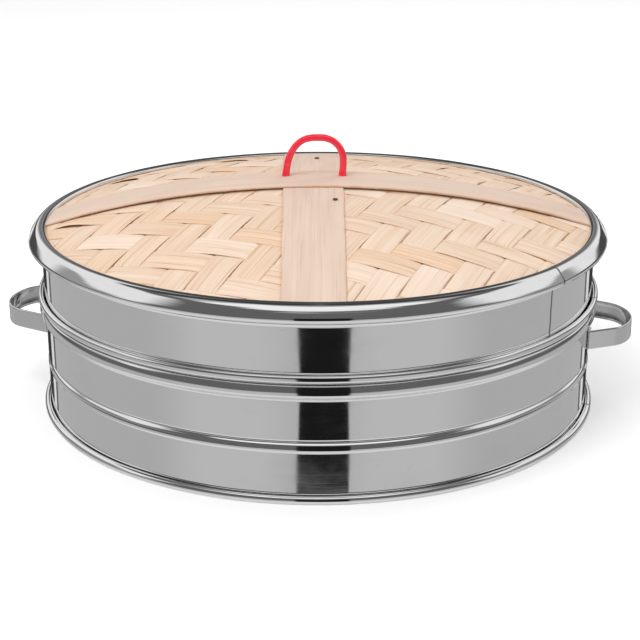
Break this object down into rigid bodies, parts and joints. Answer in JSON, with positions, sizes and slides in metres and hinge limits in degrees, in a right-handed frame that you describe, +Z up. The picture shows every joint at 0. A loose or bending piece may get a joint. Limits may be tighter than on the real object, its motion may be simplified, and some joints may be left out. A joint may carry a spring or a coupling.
{
  "type": "steamer basket",
  "caption": "Round steel steamer tier with strap handles and slatted bamboo grate, under a steel-hooped lid with a domed twill-woven bamboo panel, crossed straps and a red loop handle.",
  "frame": {"origin": "centre of the base, on the surface the tier stands on", "axes": "+Z up along the axis of the basket; the two strap handles lie on the X axis, and -Y faces the viewer"},
  "size_m": [0.4655, 0.4186, 0.1929],
  "materials": {
    "polished_steel": "polished stainless steel",
    "handle_steel": "satin stainless steel",
    "nail_steel": "dull",
    "grate_bamboo": "planed bamboo",
    "frame_bamboo": "split bamboo",
    "lining_bamboo": "matt bamboo sheet",
    "woven_bamboo": "split bamboo, inner face out",
    "strap_bamboo": "scraped bamboo",
    "red_sleeve": "glossy PVC"
  },
  "bodies": {
    "basket": {"basket_wall": "polished_steel", "handle_left": "handle_steel", "handle_right": "handle_steel"},
    "grate": {"grate_beam_1": "grate_bamboo", "grate_beam_2": "grate_bamboo", "grate_beam_3": "grate_bamboo", "grate_slats": "grate_bamboo", "grate_nails": "nail_steel"},
    "lid": {"lid_hoop": "polished_steel", "lid_inner_hoop": "frame_bamboo", "lid_lining": "lining_bamboo", "warp_strip_1": "woven_bamboo", "warp_strip_2": "woven_bamboo", "warp_strip_3": "woven_bamboo", "warp_strip_4": "woven_bamboo", "warp_strip_5": "woven_bamboo", "warp_strip_6": "woven_bamboo", "warp_strip_7": "woven_bamboo", "warp_strip_8": "woven_bamboo", "warp_strip_9": "woven_bamboo", "warp_strip_10": "woven_bamboo", "warp_strip_11": "woven_bamboo", "warp_strip_12": "woven_bamboo", "warp_strip_13": "woven_bamboo", "warp_strip_14": "woven_bamboo", "warp_strip_15": "woven_bamboo", "warp_strip_16": "woven_bamboo", "warp_strip_17": "woven_bamboo", "warp_strip_18": "woven_bamboo", "warp_strip_19": "woven_bamboo", "weft_strip_1": "woven_bamboo", "weft_strip_2": "woven_bamboo", "weft_strip_3": "woven_bamboo", "weft_strip_4": "woven_bamboo", "weft_strip_5": "woven_bamboo", "weft_strip_6": "woven_bamboo", "weft_strip_7": "woven_bamboo", "weft_strip_8": "woven_bamboo", "weft_strip_9": "woven_bamboo", "weft_strip_10": "woven_bamboo", "weft_strip_11": "woven_bamboo", "weft_strip_12": "woven_bamboo", "weft_strip_13": "woven_bamboo", "weft_strip_14": "woven_bamboo", "weft_strip_15": "woven_bamboo", "weft_strip_16": "woven_bamboo", "weft_strip_17": "woven_bamboo", "weft_strip_18": "woven_bamboo", "weft_strip_19": "woven_bamboo", "weft_strip_20": "woven_bamboo", "strap_under": "strap_bamboo", "strap_over": "strap_bamboo", "rib_upper": "frame_bamboo", "rib_lower": "frame_bamboo", "strap_nails": "nail_steel", "loop_wire": "nail_steel", "loop_sleeve": "red_sleeve"}
  },
  "joints": [
    {"name": "lid_lift", "type": "slide", "parent": "basket", "child": "lid", "axis": [0, 0, 1], "range_m": [0, 0.2]},
    {"name": "grate_lift", "type": "slide", "parent": "basket", "child": "grate", "axis": [0, 0, 1], "range_m": [0, 0.018]}
  ]
}
